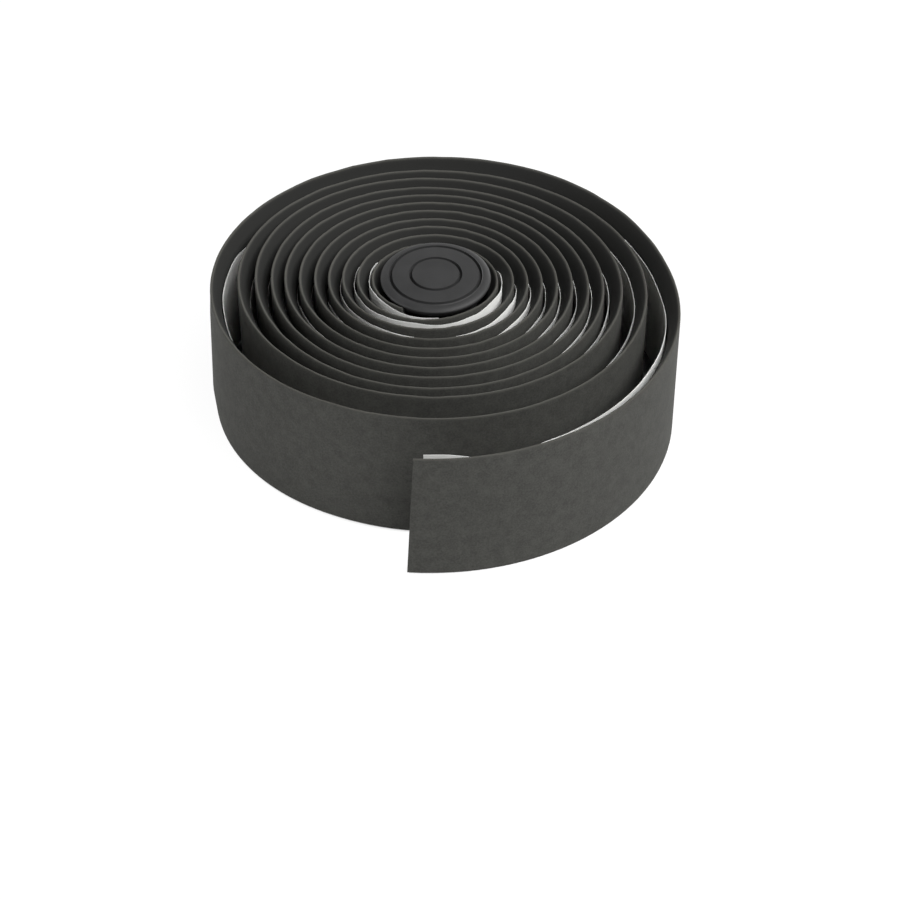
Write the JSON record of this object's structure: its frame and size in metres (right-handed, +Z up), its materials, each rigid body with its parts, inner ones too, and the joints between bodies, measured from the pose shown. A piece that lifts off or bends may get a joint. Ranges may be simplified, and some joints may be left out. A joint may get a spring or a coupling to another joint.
{
  "type": "roll of handlebar tape",
  "caption": "Roll of handlebar tape standing on its edge, with a loose sprung-off outer end and a bar end plug pressed into the middle.",
  "frame": {"origin": "under the middle of the roll's outline, on the surface it stands on", "axes": "+Z up along the roll's axis, towards the plug's face; the loose outer end lies at -Y"},
  "size_m": [0.1004, 0.11, 0.0322],
  "materials": {
    "tape_foam": "matt foam with a fine grain",
    "backing_paper": "smooth white release paper",
    "plug_plastic": "satin moulded"
  },
  "bodies": {
    "root": {"tape": "tape_foam", "backing_paper": "backing_paper", "end_plug": "plug_plastic"}
  },
  "joints": []
}
